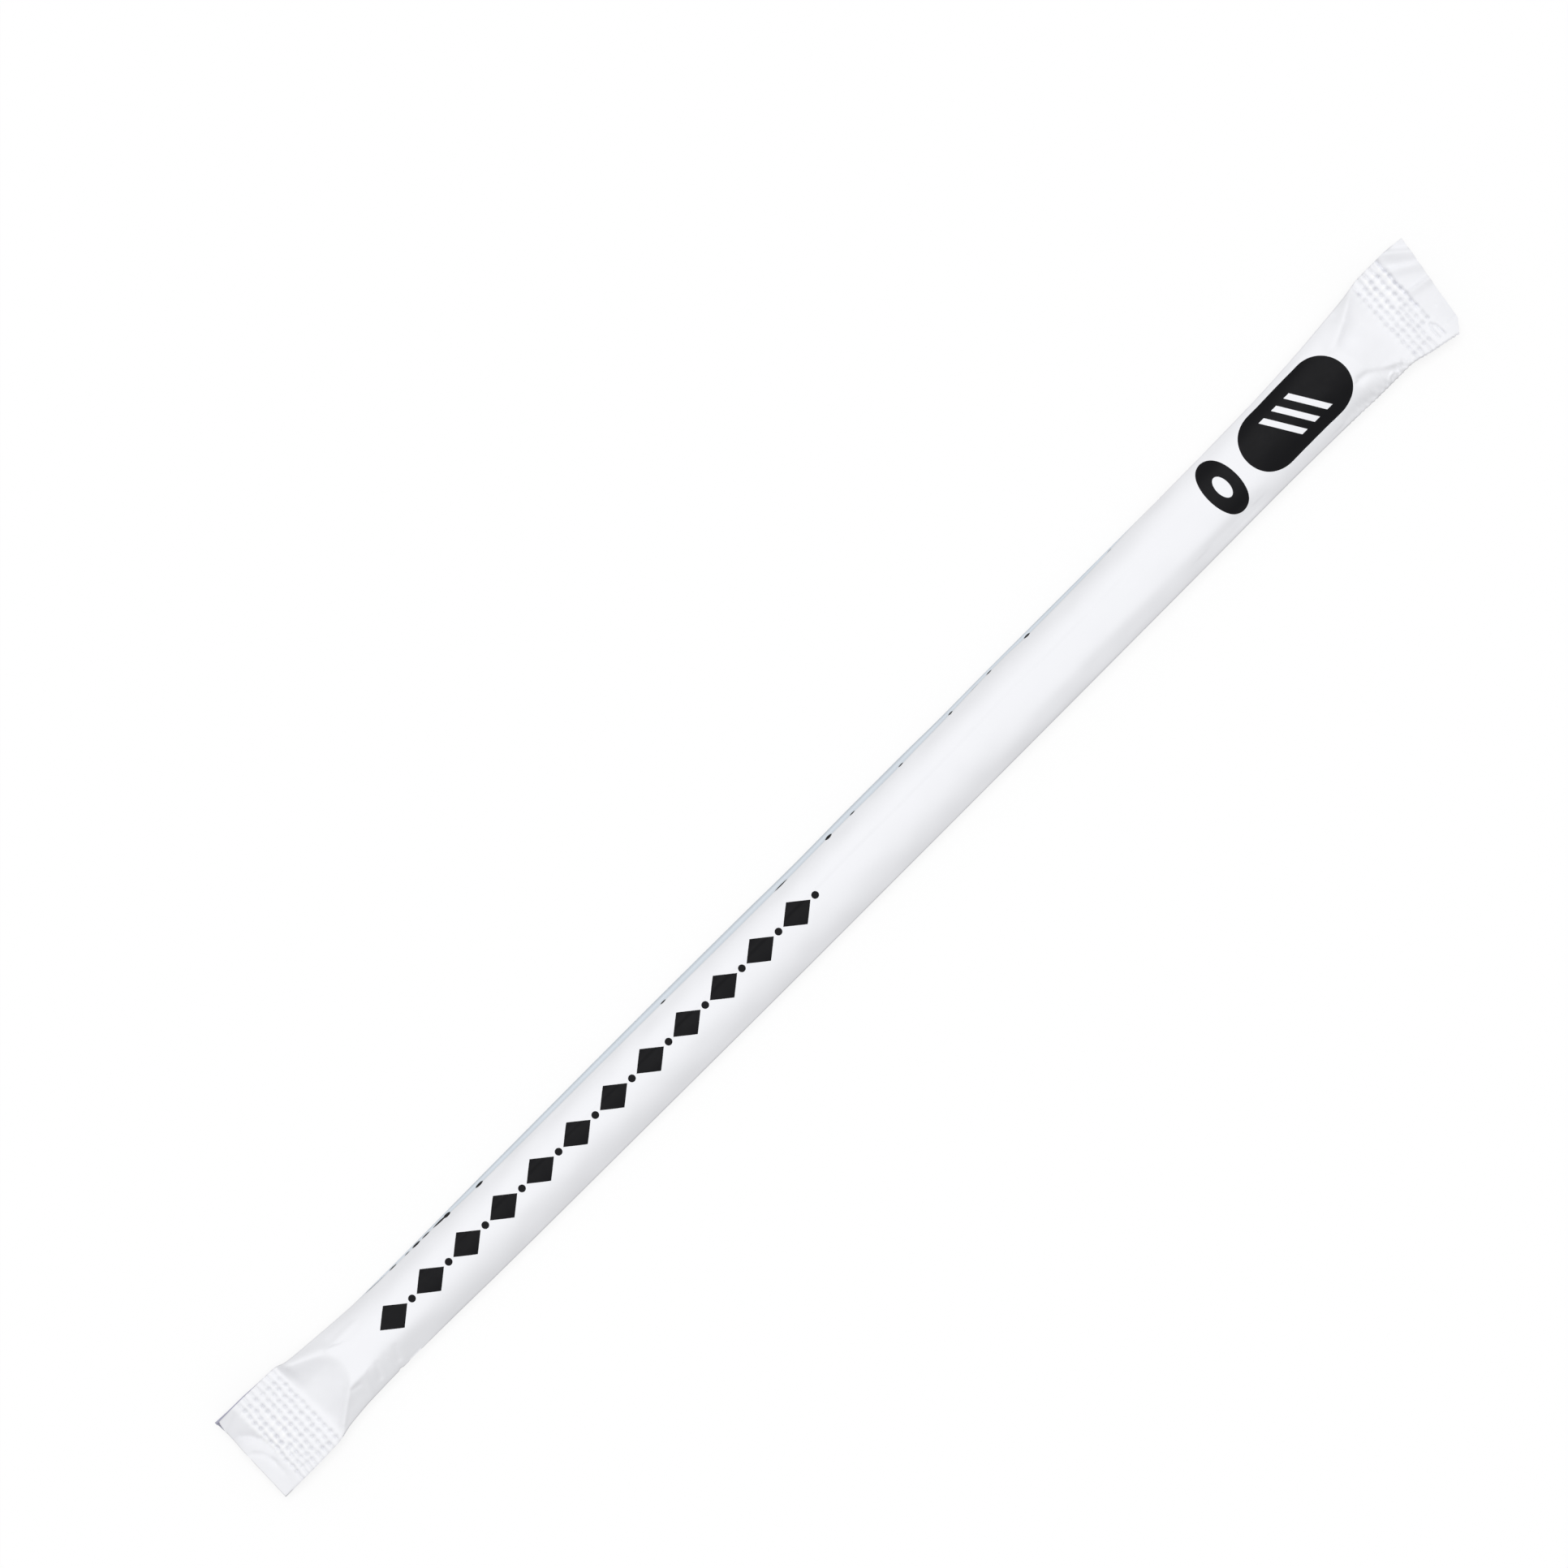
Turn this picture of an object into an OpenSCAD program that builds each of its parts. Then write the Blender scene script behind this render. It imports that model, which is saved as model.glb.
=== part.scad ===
// A paper drinking straw in its sealed paper sleeve.
// The straw runs along X, with the square-cut end of the sleeve at -X and the slanted end at +X.
// +Z is up, +Y is the side where the lap seam's free edge shows, and the pack lies on Z = 0.
// The sleeve is a flat tube of paper. The straw opens it to a pointed oval, it slopes down to a
// crimped cross seal past each end of the straw, and a short blank tail follows each seal.

/* [Straw] */
// Diameter of the paper straw inside the sleeve
straw_d = 8; // [6:0.25:9]
// Length of the paper straw inside the sleeve
straw_l = 210; // [180:5:260]

/* [Sleeve] */
// Width of the empty sleeve, laid flat
sleeve_w = 15.3; // [14.6:0.1:18]
// Thickness of the paper
sheet_t = 0.1; // [0.06:0.01:0.2]
// How full the opened sleeve's section is: 2 is a parabola, and more has fuller shoulders
sleeve_bulge = 2.2; // [1.8:0.05:2.8]
// Width of the flat spot that the pack rests on
rest_w = 3; // [2.5:0.1:4]

/* [Lap seam] */
// How far the free edge of the lap stops short of the side fold, at most
lap_reveal = 1.1; // [0.5:0.1:2]
// Width of the doubled paper beside the free edge
lap_w = 4; // [3:0.5:6]
// Distance from the square end of the sleeve to where the free edge comes into view
lap_start = 28; // [24:1:60]
// Length of the stretch where the free edge shows
lap_l = 164; // [80:2:180]
// How far the free edge stops short of the side fold at the cut of the square end
lap_end_reveal = 0.5; // [0.1:0.1:1]

/* [Crimp] */
// Spacing of the crimp's columns, along the straw
crimp_pitch = 1.22; // [1:0.01:1.5]
// Number of dimples across the sleeve
crimp_rows = 11; // [9:1:13]
// Depth of the dimples
crimp_depth = 0.3; // [0.1:0.05:0.5]

/* [Square end] */
// Number of crimp columns
square_columns = 7; // [4:1:9]
// Length of the blank tail
square_tail = 3.9; // [2:0.1:8]
// Distance from the crimp to the tip of the straw
square_slack = 8; // [5:0.5:14]
// Distance that the square end sits off centre, towards the lap seam
square_shift = 0.4; // [0:0.1:0.8]
// How much shorter the square end's tail is beside the lap seam
square_skew = 0.6; // [0:0.1:1.5]

/* [Slanted end] */
// Number of crimp columns
slant_columns = 5; // [4:1:9]
// Length of the blank tail, at its longest
slant_tail = 5; // [4.4:0.1:9]
// Distance from the crimp to the tip of the straw
slant_slack = 7; // [5:0.2:14]
// How much wider the slanted end is than the sleeve laid flat
slant_spread = 0.8; // [0:0.1:1.5]
// How much shorter the tail is at the side away from the lap seam
slant_skew = 2.5; // [0:0.1:3]
// How much the clipped corner takes off the end of the tail
slant_clip = 1.3; // [0:0.1:1.3]
// Depth of the gather beside the crimp, at the side away from the lap seam
slant_gather = 1.5; // [0:0.1:2]
// How far the crimp's inner edge leans out of square
slant_lean = 0.8; // [0:0.1:1.2]
// How far the tail turns away from the lap side
slant_turn = 0.4; // [0:0.1:0.8]

/* [Creases] */
// How far the flat slope at the square end reaches along the lap side, as a share of the slack
slope_twist = 1; // [0:0.1:1.2]
// Height of the soft wave in the blank tails
tail_wave = 0.35; // [0:0.05:0.6]
// Distances from the square end of the sleeve to the two pinches in its plain side fold
pinch_near = 25.6; // [23:0.1:40]
pinch_far = 160.5; // [60:0.5:180]
// Depth of the near pinch
pinch_near_depth = 0.25; // [0.1:0.05:0.6]
// Depth of the far pinch
pinch_far_depth = 0.45; // [0.1:0.05:0.6]

/* [Hidden] */

// Outside radius of the paper where it wraps the straw
wrap_r = straw_d / 2 + sheet_t;

// Height of the opened paper over the mid-plane, at a share of the way out to the side fold
function round_z(share) = wrap_r * (1 - pow(abs(share), sleeve_bulge));

// A quarter of the sleeve's way round: from the crown, over the shoulder, down to a side fold
round_steps = 60;
function quarter_round(fold) =
    let (
        drops = [for (i = [1:round_steps])
            round_z((i - 1) / round_steps) - round_z(i / round_steps)],
        steps = [for (drop = drops) norm([fold / round_steps, drop])]
    )
    steps * [for (step = steps) 1];

// Distance from the middle to a side fold, at which that way is half the sleeve's flat width
function open_fold(low, high, tries) =
    let (fold = (low + high) / 2)
    tries == 0 ? fold
    : quarter_round(fold) < sleeve_w / 2 ? open_fold(fold, high, tries - 1)
    : open_fold(low, fold, tries - 1);

fold_y = open_fold(0, sleeve_w, 40);

// Places along the sleeve, from the square end
square_seal = square_tail + square_columns * crimp_pitch;
square_tip = square_seal + square_slack;
slant_tip = square_tip + straw_l;
slant_seal = slant_tip + slant_slack;
slant_edge = slant_seal + slant_columns * crimp_pitch;
slant_cut = slant_edge + slant_tail;

// Half widths of the flat ends
square_lap_y = sleeve_w / 2 + square_shift;
square_plain_y = sleeve_w / 2 - square_shift;
slant_y = (sleeve_w + slant_spread) / 2;
slant_corner_y = slant_y + slant_spread / 2;
slant_gather_y = slant_corner_y - slant_gather;

// How the flat ends narrow to the body: the length and the sharpness of each curve
square_flare = [20, 3];
slant_flare = [34, 2];
gather_flare = [20, 2];

function share_of(value, length) = min(1, max(0, value / length));
function mix(a, b, share) = a + (b - a) * share;
function flare(distance, curve) = pow(1 - share_of(distance, curve[0]), curve[1]);

function lap_side_y(x) =
    fold_y
    + (square_lap_y - fold_y) * flare(x - square_seal, square_flare)
    + (slant_y - fold_y) * flare(slant_seal - x, slant_flare)
    - slant_turn * pow(share_of(x - slant_edge, slant_tail), 2);

// Distance run along the plain side from the slanted end's seal, where the tail is cut shorter
function plain_run(x) =
    min(x, slant_edge) - slant_seal
    + max(0, x - slant_edge) * slant_tail_l(-1) / slant_tail;

function plain_side_y(x) =
    fold_y
    + (square_plain_y - fold_y) * flare(x - square_seal, square_flare)
    + (slant_gather_y - fold_y) * flare(slant_seal - x, gather_flare)
    + slant_gather * share_of(plain_run(x), plain_run(slant_cut));

// How much of the lower sheet shows past the lap's free edge
lap_least = 0.04;
lap_end_flare = [12, 1];
function lap_share(x) = sqrt(sin(180 * share_of(x - lap_start, lap_l)));
function reveal(x) =
    lap_least
    + (lap_reveal - lap_least) * lap_share(x)
    + (lap_end_reveal - lap_least) * flare(x, lap_end_flare);

// The columns of points across the sleeve are numbered -side to side.
side = crimp_rows + 2;
function is_dimple(column) =
    abs(column) < crimp_rows && (column + side) % 2 == 1;

// The rows of points along the sleeve. Each is [place, rise, dent, tail, end]: rise goes from 0 on
// the flat ends to 1 on the straw, dent is 1 in a crimp groove, tail goes from 0 at the crimp to 1
// at the cut, and end is -1 or 1 on the rows that belong to the square or the slanted end.
tail_rows = 3;
function square_rows() = concat(
    [for (i = [tail_rows:-1:1])
        [square_tail * (1 - i / tail_rows), 0, 0, i / tail_rows, -1]],
    [for (i = [0:2 * square_columns]) [square_tail + i * crimp_pitch / 2, 0, i % 2, 0, -1]],
    [for (rise = landings) [square_seal + rise * square_slack, rise, 0, 0, -1]]
);
function slant_rows() = concat(
    [for (i = [len(landings) - 1:-1:0])
        [slant_seal - landings[i] * slant_slack, landings[i], 0, 0, 1]],
    [for (i = [0:2 * slant_columns]) [slant_seal + i * crimp_pitch / 2, 0, i % 2, 0, 1]],
    [for (i = [1:tail_rows])
        [slant_edge + slant_tail * i / tail_rows, 0, 0, i / tail_rows, 1]]
);

// The flat slope cuts the opened sleeve along a curve. Each of these rises lands one column on it.
landings = concat([for (column = [side - 1:-1:2]) round_z(column / side) / wrap_r], [1]);

// The rows between the straw's tips lie closer together towards its ends.
body_rows = 24;
pinch_l = 1.2;
function plain_places() =
    [for (i = [1:body_rows - 1])
        mix(square_tip, slant_tip, (1 - cos(180 * i / body_rows)) / 2)];
function with_pinch(places, at) = concat(
    [for (x = places) if (x < at - pinch_l) x],
    [at - pinch_l / 2, at, at + pinch_l / 2],
    [for (x = places) if (x > at + pinch_l) x]
);
function straw_rows() =
    [for (x = with_pinch(with_pinch(plain_places(), pinch_near), pinch_far)) [x, 1, 0, 0, 0]];

rows = concat(square_rows(), straw_rows(), slant_rows());

// The cut ends: how long the tail is at a share of the way across, from -1 to 1 at the lap side
clip_share = 0.2;
function square_tail_l(share) = square_tail - square_skew * (1 + share) / 2;
function slant_tail_l(share) =
    slant_tail - slant_skew * (1 - share) / 2
    - slant_clip * share_of(-share - 1 + clip_share, clip_share);

// On the lap side of the square end the slope lands later, and the delay fades out over the body.
twist_fade = 14;
twist_round = 0.25;
function twist(row, share) =
    let (
        lap = max(0, share),
        fade = 1 - share_of(row[0] - square_tip, twist_fade)
    )
    square_slack * slope_twist * row[1] * fade * lap * lap / (lap + twist_round);

// The slanted end's crimp leans most at its inner edge.
function lean(row, share) =
    slant_lean * share / 2
    * (row[1] > 0 ? 1 - row[1] : (slant_edge - row[0]) / (slant_edge - slant_seal));

function place(row, share) =
    row[3] > 0 && row[4] < 0 ? square_tail - row[3] * square_tail_l(share)
    : row[3] > 0 ? slant_edge + row[3] * slant_tail_l(share)
    : row[0] + (row[4] > 0 ? lean(row, share) : twist(row, share));

// How far a pinch draws the plain fold in. It dies out towards the middle of the sleeve.
function pinch(x, share) =
    (x == pinch_near ? pinch_near_depth : x == pinch_far ? pinch_far_depth : 0)
    * pow(abs(share), 6);
function plain_y(x, share) = share * (plain_side_y(x) - pinch(x, share));

// Height of the crimp and of the tails' soft waves, the same in both sheets
function dent(row, column) =
    row[2] == 0 ? 0
    : abs(column) >= crimp_rows || is_dimple(column) ? -crimp_depth
    : -crimp_depth / 3;
function wave(row, share) =
    tail_wave * row[3] * (row[4] < 0 ? cos(200 * share + 40) : sin(260 * share + 50));
function relief(row, column) = dent(row, column) + wave(row, column / side);

// Height of the upper sheet over the mid-plane, without the lap
function sheet_z(rise, share, limit) =
    sheet_t + (1 - sheet_t / wrap_r) * min(wrap_r * rise, round_z(share), limit);

// How far out the flat spot reaches, and the height at which it ends the round of the lower sheet
rest_share = rest_w / 2 / fold_y;
rest_z = round_z(rest_share);
function lower_share(rise, column) =
    let (
        even = column / side,
        rest = mix(rest_share, 1, (abs(column) - 1) / (side - 1))
    )
    column == 0 ? 0 : mix(even, sign(column) * rest, rise);

// Points of one row: the upper sheet from the plain fold to the lap's free edge, the strip of the
// lower sheet past it, and the lower sheet back to the plain fold
function upper_point(row, column) =
    let (
        x = row[0],
        share = column / side,
        edge_y = lap_side_y(x) - reveal(x),
        y = share < 0 ? plain_y(x, share) : share * edge_y,
        full = share < 0 ? share : y / lap_side_y(x),
        doubled = sheet_t * lap_share(x) * share_of(y - edge_y + lap_w, lap_w / 2)
    )
    [place(row, share), y, sheet_z(row[1], full, wrap_r) + doubled + relief(row, column)];
function strip_point(row) =
    let (
        x = row[0],
        y = lap_side_y(x) - reveal(x) + lap_least / 2
    )
    [place(row, 1), y, sheet_z(row[1], y / lap_side_y(x), wrap_r) + relief(row, side)];
function fold_point(row) =
    [place(row, 1), lap_side_y(row[0]), sheet_t + relief(row, side)];
function lower_point(row, column) =
    let (
        x = row[0],
        share = lower_share(row[1], column),
        y = share < 0 ? plain_y(x, share) : share * lap_side_y(x)
    )
    [place(row, column / side), y, relief(row, column) - sheet_z(row[1], share, rest_z)];

function ring(row) = concat(
    [for (column = [-side:side]) upper_point(row, column)],
    [strip_point(row), fold_point(row)],
    [for (column = [side:-1:-side]) lower_point(row, column)]
);

upper_n = 2 * side + 1;
lower_from = upper_n + 2;
ring_n = lower_from + upper_n;
points = [for (row = rows) each ring(row)];

// The square between two rows and two columns is split along its dimple's slope, or along the
// crease where the slope lands. leans is true where the split runs forward towards the lap side.
function leans(row, next, index, column) =
    row[1] == next[1] ? (index + tail_rows + column + crimp_rows) % 2 == 0
    : (row[1] < next[1]) == (column < 0);

function ring_faces(i) =
    [for (m = [0:ring_n - 1])
        let (
            n = (m + 1) % ring_n,
            upper = m < upper_n,
            column = upper ? m - side : lower_from + side - m + side - 1,
            forward = leans(rows[i], rows[i + 1], i, column) == upper,
            a = i * ring_n + m,
            b = i * ring_n + n,
            c = a + ring_n,
            d = b + ring_n
        )
        each forward ? [[a, b, d], [a, d, c]] : [[a, b, c], [b, d, c]]];

// The cut end at a row, joining the two sheets
function end_faces(i) =
    let (from = i * ring_n, last = from + ring_n - 1, fold = from + lower_from)
    concat(
        [for (m = [0:upper_n - 2])
            each [[from + m, last - m, last - m - 1], [from + m, last - m - 1, from + m + 1]]],
        [[from + upper_n - 1, fold, from + upper_n], [from + upper_n, fold, from + upper_n + 1]]
    );
function turned(faces) = [for (face = faces) [face[2], face[1], face[0]]];

faces = concat(
    end_faces(0),
    [for (i = [0:len(rows) - 2]) each ring_faces(i)],
    turned(end_faces(len(rows) - 1))
);

// The middle of the pack's own box goes over the origin, and its flat spot onto Z = 0.
function middle(axis) =
    let (values = [for (p = points) p[axis]])
    (min(values) + max(values)) / 2;
rest_height = sheet_t + (1 - sheet_t / wrap_r) * rest_z;

module wrapped_straw() {
    color([0.95, 0.95, 0.97])
        translate([-middle(0), -middle(1), rest_height])
            polyhedron(points = points, faces = faces, convexity = 8);
}

wrapped_straw();
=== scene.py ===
# A paper drinking straw sealed in its white paper sleeve, lying on a white table and seen from above.
# The sleeve is drawn in millimetres in its own frame: x runs along it from the square-cut end, y from its
# middle line to the side where the lap seam's free edge shows, and z up from the plane of its two side folds.
# The near end is the square-cut one, and the far end is the slanted one.

import math

import bmesh
import bpy
import numpy as np
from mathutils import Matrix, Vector


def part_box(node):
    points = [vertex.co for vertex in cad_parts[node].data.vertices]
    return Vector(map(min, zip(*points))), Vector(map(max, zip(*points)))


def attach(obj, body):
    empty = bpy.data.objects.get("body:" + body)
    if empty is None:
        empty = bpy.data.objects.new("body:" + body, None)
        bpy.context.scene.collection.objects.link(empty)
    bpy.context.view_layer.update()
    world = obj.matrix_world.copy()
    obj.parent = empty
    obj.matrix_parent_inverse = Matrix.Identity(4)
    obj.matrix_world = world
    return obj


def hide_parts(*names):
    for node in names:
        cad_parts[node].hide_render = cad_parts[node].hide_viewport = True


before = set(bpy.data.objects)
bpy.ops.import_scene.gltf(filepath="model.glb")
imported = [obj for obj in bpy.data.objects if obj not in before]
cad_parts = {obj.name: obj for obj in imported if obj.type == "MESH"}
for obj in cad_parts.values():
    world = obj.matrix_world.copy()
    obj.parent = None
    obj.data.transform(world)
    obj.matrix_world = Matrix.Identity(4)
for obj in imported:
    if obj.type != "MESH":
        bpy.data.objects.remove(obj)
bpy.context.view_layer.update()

MM = 0.001

# Paper thickness, and the height and place of the crown line over the straw
PAPER = 0.1
CROWN = 4.0
CROWN_Y = 1.1

# Places along the sleeve
TAIL = 3.9
CRIMP_END = 11.9
FAR_CRIMP = 237.4
FAR_TAIL = 243.7
LENGTH = 248.54

# Half width of the sleeve, from its middle line to the side fold at the lap seam
WIDEST_LAP = 8.05
LAP_SIDE = [
    (0, 8.0), (3, 7.87), (6, 7.82), (9, 7.66), (12.2, 7.55), (14.4, 6.95), (16.8, 6.68), (19.2, 6.48),
    (24, 6.1), (28, 5.87), (36, 5.83), (60, 5.97), (84, 6.04), (108, 5.93), (120, 5.79), (132, 5.88),
    (142, 5.88), (150, 5.78), (160, 5.84), (192, 5.8), (204, 5.87), (216, 6.08), (225.6, 6.59),
    (230.4, 6.99), (236.4, 7.54), (237.6, 7.72), (240, WIDEST_LAP), (244.7, WIDEST_LAP), (248.6, 7.66),
]

# Half width from the middle line to the plain side fold
PLAIN_SIDE = [
    (0, 7.22), (6, 7.2), (11, 7.1), (12.4, 6.9), (14.4, 6.46), (16.8, 6.21), (19.2, 6.04), (26.4, 5.9),
    (36, 5.97), (48, 6.14), (84, 6.33), (114, 6.43), (149, 6.42), (168, 6.38), (192, 6.31), (210, 6.23),
    (225.6, 6.43), (230.4, 6.58), (235.2, 6.58), (236.4, 6.6), (237.6, 6.8), (240, 7.45), (242.2, 7.87),
    (244.7, 8.41),
]

# Pinches in the plain side fold: place, half length and depth
PINCHES = [(25.6, 0.45, 0.22), (160.5, 0.5, 0.45)]

# Fine teeth of the gathered plain fold: their depth, and where they start and are full
SERRATION = 0.06
SERRATION_START = 221
SERRATION_FULL = 226

# How much of the lower sheet shows past the free edge of the lap
REVEAL = [
    (0, 0.38), (3, 0.2), (7, 0.14), (9.5, 0.03), (28.5, 0.03), (31, 0.16), (44, 0.36), (51, 0.66),
    (76, 0.88), (105, 0.97), (124, 0.82), (139, 0.92), (150, 0.64), (163, 0.4), (168, 0.56), (180, 0.44),
    (192, 0.03), (248, 0.03),
]

# How full the round of each sheet is on each side of its crown: 2 is a parabola, and more is fuller
LAP_BULGE = [(12, 1.75), (28, 2.1), (216, 2.1), (230, 2.0), (238, 1.9)]
PLAIN_BULGE = [
    (12, 3.6), (24, 3.6), (48, 2.65), (146, 2.65), (162, 3.3), (205, 3.3), (214, 2.7), (229, 2.6),
    (238, 1.75),
]
LOWER_BULGE = 2.2

# The flat flank of the plain side: slope, and how far it lies outside the plain fold. It is lost in the round
# of the sheet in the middle of the sleeve and at the far end.
FLANK_SLOPE = 1.06
FLANK_OUT = [(12, 0.05), (29, 0.05), (54, 3), (148, 3), (162, 0.3), (206, 0.3), (216, 3)]


def through(points):
    """A smooth curve through (place, value) points, which never swings past them."""
    places, values = np.array(points, float).T
    slopes = np.diff(values) / np.diff(places)
    before, after = slopes[:-1], slopes[1:]
    same_way = before * after > 0
    total = np.where(same_way, before + after, 1)
    inner = np.where(same_way, 2 * before * after / total, 0)
    tangents = np.concatenate([slopes[:1], inner, slopes[-1:]])

    def at(x):
        x = np.clip(x, places[0], places[-1])
        i = np.clip(np.searchsorted(places, x) - 1, 0, len(places) - 2)
        run = places[i + 1] - places[i]
        t = (x - places[i]) / run
        rise = t * t * (3 - 2 * t)
        start = t * (1 - t) ** 2 * run * tangents[i]
        end = t * t * (t - 1) * run * tangents[i + 1]
        return values[i] + (values[i + 1] - values[i]) * rise + start + end

    return at


def ramp(low, high, value):
    """Goes smoothly from 0 at low to 1 at high."""
    t = np.clip((value - low) / (high - low), 0, 1)
    return t * t * (3 - 2 * t)


def between(start, full, fading, gone, value):
    """1 from full to fading, and 0 before start and past gone."""
    return ramp(start, full, value) * ramp(gone, fading, value)


def softest(a, b, sharpness):
    """The smaller of two heights, with the crease between them rounded."""
    return -np.logaddexp(-a * sharpness, -b * sharpness) / sharpness


lap_side = through(LAP_SIDE)
plain_curve = through(PLAIN_SIDE)
lap_bulge = through(LAP_BULGE)
plain_bulge = through(PLAIN_BULGE)
reveal = through(REVEAL)
flank_out = through(FLANK_OUT)


def plain_side(x):
    half = plain_curve(x)
    for place, reach, depth in PINCHES:
        half = half - depth * np.clip(1 - np.abs(x - place) / reach, 0, 1) ** 1.5
    teeth = np.sin(17 * x) * np.sin(5.3 * x + 1) + 0.6 * np.sin(9.1 * x)
    return half + SERRATION * ramp(SERRATION_START, SERRATION_FULL, x) * teeth


# The cut ends. A place across is a share, from -1 at the plain side to 1 at the lap side, and a lean is how
# far the cut runs along the sleeve for each 1 of share.
NEAR_CUT = 0.06
NEAR_CUT_LEAN = 0.25
CORNER_SHARPNESS = 18
UPPER_CORNER_BACK = 0.34
LOWER_CORNER_OUT = 0.25
FAR_CUT_BACK = 0.04
FAR_CUT_LEAN = 1.3
CLIP_SHARE = -0.77
CLIP_START = 246.2
CLIP_RUN = 1.5


def near_cut(share, upper):
    corner = ((share + 1) / 2) ** CORNER_SHARPNESS
    straight = NEAR_CUT + NEAR_CUT_LEAN * (share + 1)
    return straight + np.where(upper, UPPER_CORNER_BACK, -LOWER_CORNER_OUT) * corner


def far_cut(share):
    slanted = LENGTH - FAR_CUT_BACK - FAR_CUT_LEAN * (1 - share)
    clipped = CLIP_START + (share - CLIP_SHARE) / (1 + CLIP_SHARE) * CLIP_RUN
    return np.where(share > CLIP_SHARE, slanted, clipped)


def placed_along(x, share, upper):
    """Squeezes the rows of both tails between the crimp and the cut."""
    near = TAIL - (TAIL - x) / TAIL * (TAIL - near_cut(share, upper))
    far = FAR_TAIL + (x - FAR_TAIL) / (LENGTH - FAR_TAIL) * (far_cut(share) - FAR_TAIL)
    return np.where(x < TAIL, near, np.where(x > FAR_TAIL, far, x))


# Slope of the paper from each seal up to the straw, at places across the sleeve
NEAR_SLOPE = [(-7, 0.78), (-5.5, 0.71), (-2.3, 0.63), (-0.7, 0.55), (0, 0.54), (2, 0.53), (4, 0.47), (8, 0.4)]
FAR_SLOPE = [(-7, 0.62), (-4.8, 0.58), (-3.4, 0.5), (0, 0.55), (3.3, 0.46), (5.5, 0.5), (8, 0.5)]

# How softly each slope starts, how sharp its crease with the round of the body is, and how soft the flat is
NEAR_SLOPE_START = 0.5
FAR_SLOPE_START = 0.4
SLOPE_SHARPNESS = 8
FLAT_SOFTNESS = 0.015

# Lines along which the slopes start: the near one is bowed, and the far one leans
NEAR_SEAL = 12.55
NEAR_SEAL_BOW = 0.45
NEAR_SEAL_HALF = 7
FAR_SEAL = 237.9
FAR_SEAL_LEAN = 0.055

near_slope = through(NEAR_SLOPE)
far_slope = through(FAR_SLOPE)


def near_seal(y):
    return NEAR_SEAL + NEAR_SEAL_BOW * np.clip(1 - (y / NEAR_SEAL_HALF) ** 2, 0, 1)


def far_seal(y):
    return FAR_SEAL + FAR_SEAL_LEAN * y


def risen(distance, slope, start):
    """Height of a slope that starts softly."""
    return slope * (distance + np.sqrt(distance * distance + start * start)) / 2 - slope * start * start / 8


def round_share(x, y, crown_y):
    """How far out a point lies from the crown line, 1 at a side fold."""
    lap = (y - crown_y) / (lap_side(x) - crown_y)
    plain = (crown_y - y) / (plain_side(x) + crown_y)
    return np.clip(np.maximum(lap, plain), 0, 1)


def opened(x, y, crown_y, lap_full, plain_full):
    """Height of one sheet over the plane of the folds: the round of the body, cut by the slopes to the
    seals."""
    full = np.where(y > crown_y, lap_full, plain_full)
    body = CROWN * (1 - round_share(x, y, crown_y) ** full)
    near = risen(x - near_seal(y), near_slope(y), NEAR_SLOPE_START)
    far = risen(far_seal(y) - x, far_slope(y), FAR_SLOPE_START)
    height = softest(softest(body, near, SLOPE_SHARPNESS), far, SLOPE_SHARPNESS)
    return 0.5 * (height + np.sqrt(height * height + FLAT_SOFTNESS))


def crease(x, y, points, width, height, far_width=None):
    """A soft ridge, or a valley where height is negative, along a line through the points.
    width is on its left, looking along it, and far_width on its right."""
    nearest = np.full(np.shape(x), np.inf)
    beside = np.zeros(np.shape(x))
    for (ax, ay), (bx, by) in zip(points[:-1], points[1:]):
        run_x, run_y = bx - ax, by - ay
        length = math.hypot(run_x, run_y)
        t = np.clip(((x - ax) * run_x + (y - ay) * run_y) / length**2, 0, 1)
        away = np.hypot(x - ax - t * run_x, y - ay - t * run_y)
        left = run_x * (y - ay) - run_y * (x - ax)
        closer = away < nearest
        nearest = np.where(closer, away, nearest)
        beside = np.where(closer, left, beside)
    reach = np.where(beside > 0, width, far_width or width)
    return height * np.exp(-((nearest / reach) ** 2))


def summed(creases, x, y):
    return sum(crease(x, y, points, left, height, right) for points, left, height, right in creases)


# The small arch pressed into the far seal beside its plain fold
ARCH = [(242.25, -6.6), (242.3, -5.1), (242.75, -4.3), (243.15, -5.0), (243.25, -6.8)]
ARCH_WIDTH = 0.18

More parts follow.
